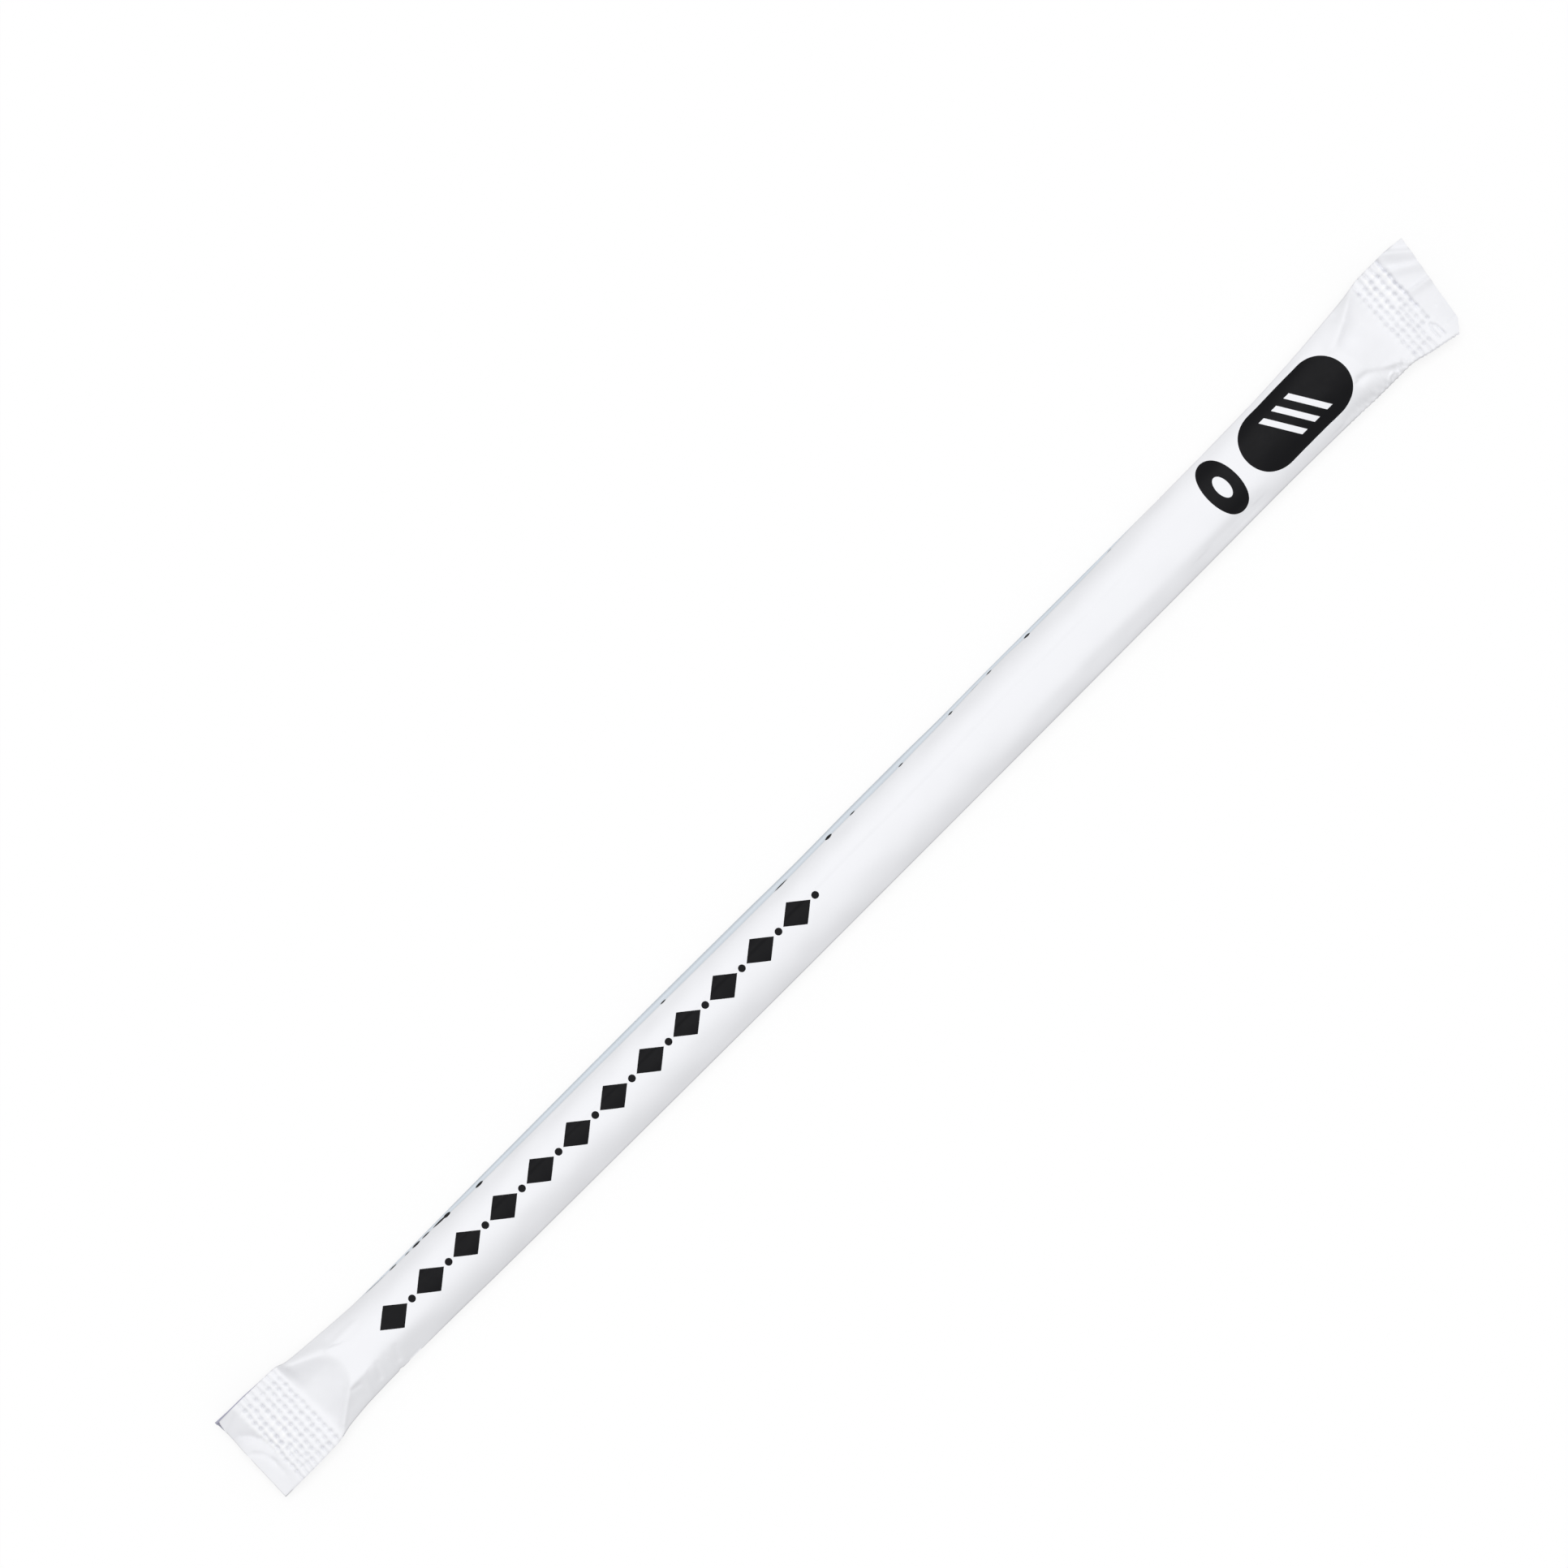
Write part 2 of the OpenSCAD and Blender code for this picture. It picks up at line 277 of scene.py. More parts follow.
# Creases of the tails and seals, which both sheets share: points, width on the left, height and width on
# the right
FLAT_CREASES = [
    ([(0.6, 6.4), (2.6, 7.1), (4.7, 8.0)], 1.8, 0.45, 0.8),
    ([(-0.2, 3.5), (1.6, 3.5), (2.8, 2.7), (3.4, 1.3), (3.6, -0.6)], 0.7, -0.32, 0.9),
    ([(1.2, 0.7), (2.1, -0.3), (2.5, -1.4), (2.65, -2.4)], 0.35, -0.22, 0.5),
    ([(2.5, -2.0), (2.6, -4.4)], 0.4, -0.14, 0.5),
    ([(3.75, 1.5), (3.9, -7.2)], 0.3, -0.1, 0.3),
    ([(244.9, 8.1), (248.9, 4.6)], 0.5, 0.8, 1.2),
    ([(244.0, 5.4), (248.3, 2.7)], 0.45, 0.5, 0.9),
    ([(243.9, 1.2), (247.9, 0.5)], 0.35, 0.55, 0.8),
    ([(245.3, -2.9), (246.9, -2.3)], 0.3, -0.12, 0.3),
    ([(244.6, -6.1), (246.2, -6.0)], 0.16, -0.12, 0.16),
    (ARCH, ARCH_WIDTH, -0.34, ARCH_WIDTH),
    ([(243.62, 7.9), (243.4, 3.5), (243.15, -1.3)], 0.2, -0.22, 0.24),
    ([(243.05, 7.6), (242.75, -0.3)], 0.3, 0.16, 0.3),
    ([(240.25, 7.8), (240.15, 5.0)], 0.3, 0.16, 0.3),
]

# Creases of the upper sheet where it slopes up to the straw
UPPER_CREASES = [
    ([(12.6, 7.3), (16.4, 5.7), (20.0, 4.2)], 0.9, 0.45, 2.2),
    ([(20.2, 4.0), (25.6, 4.0)], 0.4, 0.12, 0.6),
    ([(14.0, -5.6), (18.3, -2.4), (22.0, -2.4)], 0.7, 0.16, 0.35),
    ([(18.6, -2.9), (19.8, -3.1)], 0.3, -0.14, 0.4),
    ([(19.9, -5.7), (21.4, -3.0)], 0.5, 0.12, 0.4),
    ([(22.7, -4.6), (23.9, -2.7)], 0.4, -0.18, 0.35),
    ([(24.6, -5.4), (25.4, -3.4)], 0.4, 0.1, 0.5),
    ([(26.6, -4.6), (27.6, -2.8)], 0.4, -0.16, 0.35),
    ([(238.4, 7.7), (234.5, 5.75), (232.4, 4.65), (229.4, 3.5)], 0.7, 0.3, 1.1),
    ([(233.2, 7.2), (233.5, 5.3)], 0.5, -0.2, 0.7),
    ([(229.2, -2.7), (230.6, -2.9), (232.2, -3.9), (234.0, -5.1), (235.8, -5.6)], 0.5, -0.44, 0.9),
    ([(224, -5.6), (226.3, -5.5), (229.0, -6.5)], 0.9, -0.2, 2.5),
    ([(232.4, -6.2), (232.8, -5.6), (233.6, -5.5), (234.2, -6.1)], 0.17, 0.3, 0.17),
    ([(234.7, -6.3), (235.3, -5.0), (236.1, -6.3)], 0.2, 0.36, 0.2),
    ([(196, -4.6), (204.5, -4.7)], 0.8, -0.2, 2.2),
]

# Crimp columns: place at the plain side, place at the lap side, and the stretch across that has them
NEAR_COLUMNS = [
    (3.85, 5.0, -9, 9), (4.95, 6.1, -9, 9), (5.9, 6.3, -9, -1.8), (6.8, 7.3, -9, 9), (8.0, 8.5, -9, 9),
    (9.15, 9.65, -9, 9), (10.35, 10.8, -9, 9), (11.65, 11.9, -9, 9),
]
FAR_COLUMNS = [
    (237.9, 238.4, -9, 9), (238.85, 239.6, -9, 9), (240.0, 240.85, -9, 9),
    (241.0, 241.5, -9, 0.6), (241.95, 242.1, -3.6, 9), (243.0, 243.55, -3.6, 9),
]
CRIMP_HALF = 7.3
FAR_CRIMP_END = FAR_TAIL - 0.1
NEAR_ROW_LEAN = -0.05
FAR_ROW_LEAN = 0.0
NEAR_CRIMP_SEED = 4
FAR_CRIMP_SEED = 7

# The grooves along the columns and rows: depth, half width, the painted shade in a column's groove, and sway
GROOVE_DEPTH = 0.14
GROOVE_HALF = 0.22
GROOVE_SHADE = 0.3
COLUMN_SWAY = 0.05
ROW_DEPTH = 0.07
ROW_HALF = 0.2

# Past the rows of pits, towards both folds, the columns' grooves are deeper and have more painted shade
PAST_ROWS_DEPTH = 0.8
PAST_ROWS_SHADE = 0.25

# The pits where they cross, and how much their place and turn vary
PIT_ROWS = 11
PIT_PITCH = 1.19
PIT_TOP = 6.15
PIT_DEPTH = 0.36
PIT_LONG = 0.34
PIT_SHORT = 0.21
PIT_TURN = math.radians(-62)
PIT_SHIFT = 0.07
PIT_SWING = 0.25
PIT_STRENGTHS = (0.75, 1.25)

# The raised pads between the pits, and the painted highlight on them
PAD_HEIGHT = 0.06
PAD_R = 0.36
PAD_BACK = 0.55
PAD_HIGHLIGHT = 0.9

# Where each seal is pressed deepest: the middle and the reach of the near one's patch, and where the far
# one's starts and is full
NEAR_DEEPEST_X = 5.6
NEAR_DEEPEST_Y = 0.4
NEAR_REACH_X = 2.8
NEAR_REACH_Y = 4
FAR_DEEP_ALONG = (238.8, 240.2)
FAR_DEEP_ACROSS = (-1, 3)

# Press everywhere in a seal, and more where it is deepest
PRESS = 0.95
DEEPEST_PRESS = 0.35


def near_depth(x, y):
    """How deeply the near seal is pressed, from 0 to 1: deepest a little inside its first columns."""
    off_x = (x - NEAR_DEEPEST_X) / NEAR_REACH_X
    off_y = (y - NEAR_DEEPEST_Y) / NEAR_REACH_Y
    return np.exp(-(off_x**2) - off_y**2)


def far_depth(x, y):
    """How deeply the far seal is pressed, from 0 to 1: deepest at its last columns on the lap side."""
    return ramp(*FAR_DEEP_ACROSS, y) * ramp(*FAR_DEEP_ALONG, x)


def crimp(x, y, columns, first, last, row_lean, seed, depth_at):
    """The knurled cross seal: soft grooves along its columns and rows, with a slanted pit at each crossing
    and a pad beside it. Returns the height, and the painted shade in its pits and grooves, which is negative
    where a painted highlight lies on a pad."""
    jitter = np.random.default_rng(seed)
    height = np.zeros(np.shape(x))
    painted_seal_shading = np.zeros(np.shape(x))
    rows = [PIT_TOP - PIT_PITCH * i for i in range(PIT_ROWS)]
    past_rows = ramp(PIT_TOP + 0.2, PIT_TOP + 0.6, y) + ramp(rows[-1] - 0.2, rows[-1] - 0.6, y)
    deepest = depth_at(x, y)
    for plain_x, lap_x, low_y, high_y in columns:
        column_x = plain_x + (lap_x - plain_x) * (y + CRIMP_HALF) / (2 * CRIMP_HALF)
        column_x = column_x + COLUMN_SWAY * np.sin(1.9 * y + plain_x)
        there = between(low_y - 0.3, low_y, high_y, high_y + 0.3, y)
        groove = np.exp(-(((x - column_x) / GROOVE_HALF) ** 2)) * there
        height -= groove * GROOVE_DEPTH * (1 + PAST_ROWS_DEPTH * past_rows)
        # Painted shade in the column's groove
        painted_seal_shading += groove * (GROOVE_SHADE + PAST_ROWS_SHADE * past_rows)
        for row_y in rows:
            middle_x, middle_y = jitter.normal(0, PIT_SHIFT, 2)
            strength = jitter.uniform(*PIT_STRENGTHS)
            turn = PIT_TURN + jitter.normal(0, PIT_SWING)
            off_x = x - column_x - middle_x
            off_y = y - row_y - middle_y - row_lean * (x - first)
            off_long = (off_x * math.cos(turn) + off_y * math.sin(turn)) / PIT_LONG
            off_short = (off_y * math.cos(turn) - off_x * math.sin(turn)) / PIT_SHORT
            pit = np.exp(-(off_long**2) - off_short**2) * there * strength
            pad_x = (off_x + PAD_BACK) / PAD_R
            pad_y = (off_y - PIT_PITCH / 2) / PAD_R
            pad = np.exp(-(pad_x**2) - pad_y**2) * there * strength
            height += PAD_HEIGHT * pad - PIT_DEPTH * pit
            # Painted shade in the pit, and painted highlight on the pad
            painted_seal_shading += pit - PAD_HIGHLIGHT * pad * deepest
    for row_y in rows:
        height -= ROW_DEPTH * np.exp(-(((y - row_y - row_lean * (x - first)) / ROW_HALF) ** 2))
    inside = between(first - 0.5, first, last, last + 0.5, x) * (PRESS + DEEPEST_PRESS * deepest)
    return height * inside, np.clip(painted_seal_shading * inside, -1, 1.4)


# Low, irregular waves of handled paper: how many, and the shortest and longest
CRINKLE_WAVES = 16
CRINKLE_LENGTHS = (1.6, 9)


def crinkle(x, y, seed, size):
    draw = np.random.default_rng(seed)
    total = np.zeros(np.shape(x))
    for _ in range(CRINKLE_WAVES):
        angle = draw.uniform(0, math.pi)
        length = draw.uniform(*CRINKLE_LENGTHS)
        phase = draw.uniform(0, 2 * math.pi)
        total += np.sin(2 * math.pi * (x * math.cos(angle) + y * math.sin(angle)) / length + phase) * length
    return total * size / CRINKLE_WAVES


# How far each side fold bends up from the flat of the seals, along the sleeve
LAP_RISE = [
    (12.7, 0), (14.8, 1.9), (17, 2.0), (22, 1.5), (30, 1.1), (60, 0.8), (176, 0.8), (188, 1.5), (200, 2.9),
    (216, 3.1), (226, 3.2), (231, 2.7), (235, 1.5), (238.3, 0),
]
PLAIN_RISE = [
    (12, 0), (30, -0.2), (44, -0.5), (70, -0.5), (110, 0), (146, 0), (162, 0.6), (200, 0.6), (222, 0),
]

# Where across the sleeve each of those bends starts and is full
LAP_RISE_ACROSS = (1.3, 9)
PLAIN_RISE_ACROSS = (-1.3, -6.8)

# The bends of the two tails, and where along the sleeve each one starts and is full
NEAR_DROOP = 1.3
NEAR_DROOP_ALONG = (5.5, -2)
FAR_RISE = 1.6
FAR_RISE_ALONG = (242.5, 250)

# The near tail's lap corner: how far it is bent down for each millimetre past the crimp, and the line of its
# bend, which runs straight along the sleeve and then curves in. The bend starts a little inside that line
# and is full past it.
CORNER_DROOP = 0.22
CORNER_LINE_Y = 3.3
CORNER_CURVE_X = 0.8
CORNER_CURVE = 0.35
CORNER_CURVE_LENGTH = 3.4
CORNER_BEND_START = 0.3
CORNER_BEND_FULL = 1.1

# The ridge from the near seal's lap corner: its foot and lean, and the triangle of painted shade beside it,
# as a stretch along the sleeve, where it starts and is full across, and the same for its distance from the
# ridge
RIDGE_X = 12.6
RIDGE_Y = 7.3
RIDGE_LEAN = 0.42
TRIANGLE = (13.2, 14, 18, 20.3)
TRIANGLE_ACROSS = (2.0, 3.0)
TRIANGLE_OFF_RIDGE = (0.2, 0.9)

# Stretches along the sleeve: where each starts, is full, starts to fade and is gone
ON_STRAW = (12.4, 14, 236, 238)
OFF_ENDS = (16, 26, 222, 232)
DOUBLED = (26, 34, 186, 196)
PUCKERED = (222, 230, 236.5, 238)
FOLD_SHADOW_ALONG = (237, 238, 244, 245)

# Seed and size of the waves on the flat ends, on each sheet, and on the upper sheet's shoulders
END_WAVES = (3, 0.05)
UPPER_WAVES = (11, 0.03)
LOWER_WAVES = (17, 0.03)
SHOULDER_WAVES = (23, 0.035)

# The shoulders, as shares of the way from the crown to the fold, and the height of their long swell
SHOULDER = (0.35, 0.8)
SHOULDER_SWELL = 0.06

# The puckers of the gathered fold: their height, and where they start and are full
PUCKER = 0.2
PUCKER_ACROSS = (-5.0, -6.3)

# Shares of the way across between which the puckers fade out towards a fold, and the valleys and the swell
PUCKER_FADE = (1.0, 0.93)
FOLD_FADE = (1.0, 0.85)

# How far the two sheets of each tail stand apart at the cut, and where along the sleeve they part
NEAR_SLIT = 0.16
NEAR_SLIT_ALONG = (3.6, 0)
FAR_SLIT = 0.2
FAR_SLIT_ALONG = (244.2, 248)

# The doubled paper of the lap ends this far in from its free edge, the strip past it lies this far down, and
# the step between them is this wide
DOUBLED_WIDTH = (4.3, 3.6)
STRIP_DROP = PAPER * 1.1
STEP_RUN = 0.01

lap_rise = through(LAP_RISE)
plain_rise = through(PLAIN_RISE)


def corner_bend(x, y):
    """1 on the lap corner of the near tail, which is bent down past a curved line, and 0 elsewhere."""
    line = CORNER_LINE_Y - CORNER_CURVE * np.clip(x - CORNER_CURVE_X, 0, CORNER_CURVE_LENGTH) ** 2
    return ramp(line - CORNER_BEND_START, line + CORNER_BEND_FULL, y)


def beside_ridge(x, y):
    """1 on the small triangle below the ridge that runs from the near seal's lap corner up to the straw."""
    ridge_y = RIDGE_Y - RIDGE_LEAN * (x - RIDGE_X)
    return ramp(*TRIANGLE_ACROSS, y) * ramp(*TRIANGLE_OFF_RIDGE, ridge_y - y) * between(*TRIANGLE, x)


def shared_relief(x, y):
    """What both sheets follow: the seals, the creases of the tails, and the bends of the folds and tails.
    Returns its height, and the painted shade and highlight of the seals."""
    near_height, near_shading = crimp(
        x, y, NEAR_COLUMNS, TAIL, CRIMP_END, NEAR_ROW_LEAN, NEAR_CRIMP_SEED, near_depth
    )
    far_height, far_shading = crimp(
        x, y, FAR_COLUMNS, FAR_CRIMP, FAR_CRIMP_END, FAR_ROW_LEAN, FAR_CRIMP_SEED, far_depth
    )
    relief = near_height + far_height + summed(FLAT_CREASES, x, y)
    relief = relief + crinkle(x, y, *END_WAVES) * (1 - between(*OFF_ENDS, x))
    relief = relief + lap_rise(x) * ramp(*LAP_RISE_ACROSS, y) + plain_rise(x) * ramp(*PLAIN_RISE_ACROSS, y)
    relief = relief - NEAR_DROOP * ramp(*NEAR_DROOP_ALONG, x) + FAR_RISE * ramp(*FAR_RISE_ALONG, x)
    relief = relief - CORNER_DROOP * np.clip(TAIL - x, 0, TAIL) * corner_bend(x, y)
    return relief, near_shading + far_shading


def flank_sharpness(x):
    """How sharp the crease between the flank and the round is: softer over the first half of the straw."""
    return SLOPE_SHARPNESS - 5 * ramp(20, 28, x) + 3 * ramp(140, 150, x)


def upper_height(x, y, share):
    """Height of the upper sheet over the shared relief, with its creases, waves and puckers."""
    top = opened(x, y, CROWN_Y, lap_bulge(x), plain_bulge(x))
    flank = FLANK_SLOPE * (plain_side(x) + y) + flank_out(x)
    top = softest(top, flank, flank_sharpness(x))
    on_straw = between(*ON_STRAW, x)
    off_folds = ramp(*FOLD_FADE, np.abs(share))
    folded = summed(UPPER_CREASES, x, y)
    folded = np.where(folded < 0, folded * off_folds, folded)
    top = top + folded * on_straw
    shoulder = ramp(*SHOULDER, round_share(x, y, CROWN_Y)) * on_straw
    top = top + crinkle(x, y, *UPPER_WAVES) * on_straw + crinkle(x, y, *SHOULDER_WAVES) * shoulder
    top = top + SHOULDER_SWELL * shoulder * np.sin(x / 3.1 + 1.5 * np.sin(x / 9.7)) * off_folds
    puckered = ramp(*PUCKER_ACROSS, y) * between(*PUCKERED, x) * ramp(*PUCKER_FADE, np.abs(share))
    return top + PUCKER * puckered * np.sin(4.9 * x + np.sin(1.3 * x))


def lower_depth(x, y):
    """Depth of the lower sheet under the shared relief."""
    return opened(x, y, 0, LOWER_BULGE, LOWER_BULGE) + crinkle(x, y, *LOWER_WAVES) * between(*ON_STRAW, x)


def slit(x, y):
    """How far the two sheets stand apart in the tails."""
    near = NEAR_SLIT * ramp(*NEAR_SLIT_ALONG, x) * (0.6 + 0.4 * np.cos(y))
    far = FAR_SLIT * ramp(*FAR_SLIT_ALONG, x) * (0.6 + 0.4 * np.sin(y))
    return near + far


# Rows of points along the sleeve, closest in the crimps: start, end and step
STRETCHES = [
    (0, TAIL, 0.2), (TAIL, CRIMP_END, 0.15), (CRIMP_END, 21, 0.2), (21, 30, 0.3), (30, 200, 1.0),
    (200, 215, 0.5), (215, FAR_CRIMP, 0.22), (FAR_CRIMP, FAR_TAIL, 0.15), (FAR_TAIL, LENGTH, 0.2),
]

# Points across each sheet, with the free edge a few before the lap fold, and the depth of the tails' slits
COLUMNS = 88
EDGE_COLUMN = COLUMNS - 3
POCKET = 0.5

# The black print is centred on this line, on the upper sheet
PRINT_Y = 0.4

# Painted shade, as shares of the darker paper colour mixed in: on each tail, the bent corner and the triangle
NEAR_TAIL_GREY = 0.45
FAR_TAIL_GREY = 0.2
CORNER_GREY = 0.55
TRIANGLE_GREY = 0.45

# The painted shadow along the far seal's plain fold, the painted shade in the arch, and the lap corner in
# which the cut's inner edge has painted shadow
FOLD_SHADOW_WIDTH = (0.35, 0.1)
ARCH_SHADE = 0.7
SHADED_END = 10
SHADED_SIDE = 6.2


def row_places():
    """Place of each row, and its layer: 0 on the outside, 1 at the inner edge of the cut, 2 where the tail's
    two sheets meet inside."""
    outer = [np.linspace(a, b, round((b - a) / step) + 1)[:-1] for a, b, step in STRETCHES]
    outer = np.append(np.concatenate(outer), LENGTH)
    places = np.concatenate([[POCKET, 0], outer, [LENGTH, LENGTH - POCKET]])
    layers = np.concatenate([[2, 1], np.zeros(len(outer)), [1, 2]])
    return places[:, None], layers[:, None]


def on_the_paper(y, z):
    """Distance round the sleeve, along its paper, from the print's line and from the free edge."""
    steps = np.hypot(np.diff(y, axis=1), np.diff(z, axis=1))
    way = np.concatenate([np.zeros((len(y), 1)), np.cumsum(steps, axis=1)], axis=1)
    middle = [np.interp(PRINT_Y, row_y[:COLUMNS], row_way[:COLUMNS]) for row_y, row_way in zip(y, way)]
    return way - np.array(middle)[:, None], way - way[:, EDGE_COLUMN : EDGE_COLUMN + 1]


def painted_shade_mark(x, y):
    """How much painted shade darkens the paper of the tails, the bent corner, and the triangle beside the
    ridge.
    """
    tails = NEAR_TAIL_GREY * ramp(4.1, 3.6, x) + FAR_TAIL_GREY * ramp(243.6, 244.2, x)
    corner = CORNER_GREY * ramp(4.1, 3.4, x) * corner_bend(x, y)
    return tails + corner + TRIANGLE_GREY * beside_ridge(x, y)


def sleeve_points(mid_z):
    """Every point of the sleeve, row by row round it: the upper sheet from the plain fold to the free edge,
    the strip past it, and the lower sheet back. Returns x, y, z, the place across the paper, and marks for
    the material."""
    places, layers = row_places()
    inner = layers == 1
    meeting = layers == 2
    j = np.arange(2 * COLUMNS + 1)[None, :]
    upper = j <= EDGE_COLUMN
    lower = j >= COLUMNS
    strip = ~upper & ~lower
    fold = (j == 0) | (j == COLUMNS) | (j == 2 * COLUMNS)

    share = np.where(upper, -1 + 2 * j / EDGE_COLUMN, np.where(strip, 1, 3 - 2 * j / COLUMNS))
    share = np.where(meeting & ~lower, -1 + 2 * j / COLUMNS, share)
    x = placed_along(places, share, upper & ~meeting)
    lap, plain = lap_side(x), plain_side(x)
    shown = reveal(x)
    free_edge = lap - shown
    y = share * np.where(share < 0, plain, np.where(upper & ~meeting, free_edge, lap))
    y = np.where((j == EDGE_COLUMN + 1) & ~meeting, free_edge + STEP_RUN, y)
    y = np.where((j == EDGE_COLUMN + 2) & ~meeting, lap - shown / 2, y)

    relief, seal_shading = shared_relief(x, y)
    gap = slit(x, y)
    doubled = PAPER * ramp(*DOUBLED_WIDTH, free_edge - y) * between(*DOUBLED, x)
    upper_z = relief + PAPER + upper_height(x, y, share) + doubled * upper + gap
    upper_z = np.where(strip, upper_z - STRIP_DROP - gap, upper_z)
    lower_z = np.maximum(relief - PAPER - lower_depth(x, y) - gap * 0.5, -mid_z)
    z = np.where(lower, lower_z, upper_z)
    z = np.where(fold | meeting, relief, z)
    z = np.where(inner & ~fold, z - np.where(lower, -PAPER, PAPER), z)
    y = np.where(inner, y - np.sign(y) * np.minimum(PAPER, np.abs(y)), y)

    across, past_edge = on_the_paper(y, z)
    # Marks for the material, all painted light: the seals' shade and highlight, the shadow along the far
    # plain fold, the shade on the tails, the corner and the triangle, and the shadow in the near lap corner
    painted_fold_shadow = ramp(*FOLD_SHADOW_WIDTH, plain + y) * between(*FOLD_SHADOW_ALONG, x)
    marks = {
        "past_edge": past_edge,
        "painted_seal_shading": seal_shading + painted_fold_shadow + crease(x, y, ARCH, ARCH_WIDTH, ARCH_SHADE),
        "painted_shade": painted_shade_mark(x, y),
        "painted_shadow": (layers > 0) & (x < SHADED_END) & (y > SHADED_SIDE),
    }
    return x, y, z, across, marks


# Points that lie this near are joined, and an edge that bends more than this is sharp
JOIN_DISTANCE = 2e-6
SHARP_BEND = math.radians(80)


def grid_mesh(name, x_segments, y_segments, size):
    shaper = bmesh.new()
    bmesh.ops.create_grid(shaper, x_segments=x_segments, y_segments=y_segments, size=size)
    mesh = bpy.data.meshes.new(name)
    shaper.to_mesh(mesh)
    shaper.free()
    return mesh


def close_and_smooth(mesh):
    """Joins the grid's edges where they meet, and smooths all but its sharp bends."""
    joiner = bmesh.new()
    joiner.from_mesh(mesh)
    bmesh.ops.remove_doubles(joiner, verts=joiner.verts, dist=JOIN_DISTANCE)
    bmesh.ops.recalc_face_normals(joiner, faces=joiner.faces)
    for face in joiner.faces:
        face.smooth = True
    for edge in joiner.edges:
        edge.smooth = edge.calc_face_angle(0) < SHARP_BEND
    joiner.to_mesh(mesh)
    joiner.free()
    mesh.update()


def placed(name, data):
    """A new object in the scene."""
    thing = bpy.data.objects.new(name, data)
    bpy.context.scene.collection.objects.link(thing)
    return thing


def make_sleeve():
    low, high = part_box("wrapped_straw")
    start_x = low.x / MM
    middle_y = high.y / MM - WIDEST_LAP
    mid_z = high.z / MM - (CROWN + PAPER)
    x, y, z, across, marks = sleeve_points(mid_z)
    rows, columns = x.shape

    # The grid's points come in an order of their own, so each one's row and column are read from its place
    mesh = grid_mesh("sleeve", rows - 1, columns - 1, 1)
    flat = np.empty(len(mesh.vertices) * 3)
    mesh.vertices.foreach_get("co", flat)
    flat = flat.reshape(-1, 3)
    i = np.round((flat[:, 0] + 1) / 2 * (rows - 1)).astype(int)
    j = np.round((flat[:, 1] + 1) / 2 * (columns - 1)).astype(int)
    places = np.stack([x[i, j] + start_x, y[i, j] + middle_y, z[i, j] + mid_z], axis=1) * MM
    mesh.vertices.foreach_set("co", places.ravel())

    corners = np.empty(len(mesh.loops), int)
    mesh.loops.foreach_get("vertex_index", corners)
    on_paper = np.stack([x[i, j], across[i, j]], axis=1)[corners] * MM
    mesh.uv_layers.new(name="paper").uv.foreach_set("vector", on_paper.astype(np.float32).ravel())
    for name, values in marks.items():
        attribute = mesh.attributes.new(name, "FLOAT", "POINT")
        attribute.data.foreach_set("value", values[i, j].astype(np.float32))
    close_and_smooth(mesh)
    return placed("paper_sleeve", mesh)


class Value:
    """A number in a material's nodes, on which Python's operators add Math nodes."""

    def __init__(self, nodes, socket):
        self.nodes = nodes
        self.socket = socket

    def maths(self, operation, *others):
        out = self.nodes.add("ShaderNodeMath", {"operation": operation}, *others)
        return Value(self.nodes, out.outputs[0])

    def __add__(self, other):
        return self.maths("ADD", self, other)

    def __radd__(self, other):
        return self.maths("ADD", other, self)

    def __sub__(self, other):
        return self.maths("SUBTRACT", self, other)

    def __rsub__(self, other):
        return self.maths("SUBTRACT", other, self)

    def __mul__(self, other):
        return self.maths("MULTIPLY", self, other)

    def __rmul__(self, other):
        return self.maths("MULTIPLY", other, self)

    def __truediv__(self, other):
        return self.maths("DIVIDE", self, other)

    def __lt__(self, other):
        return self.maths("LESS_THAN", self, other)

    def __gt__(self, other):
        return self.maths("GREATER_THAN", self, other)

    def __abs__(self):
        return self.maths("ABSOLUTE", self)

    def most(self, other):
        return self.maths("MAXIMUM", self, other)

    def power(self, other):
        return self.maths("POWER", self, other)

    def whole(self):
        return self.maths("FLOOR", self)

    def within(self, low, high):
        """1 between low and high, 0 elsewhere."""
        return (self > low) * (self < high)


# Sockets of the Mix node for colours, which share their names with its other sockets
MIX_FACTOR, MIX_FIRST, MIX_SECOND = 0, 6, 7
MIX_RESULT = 2


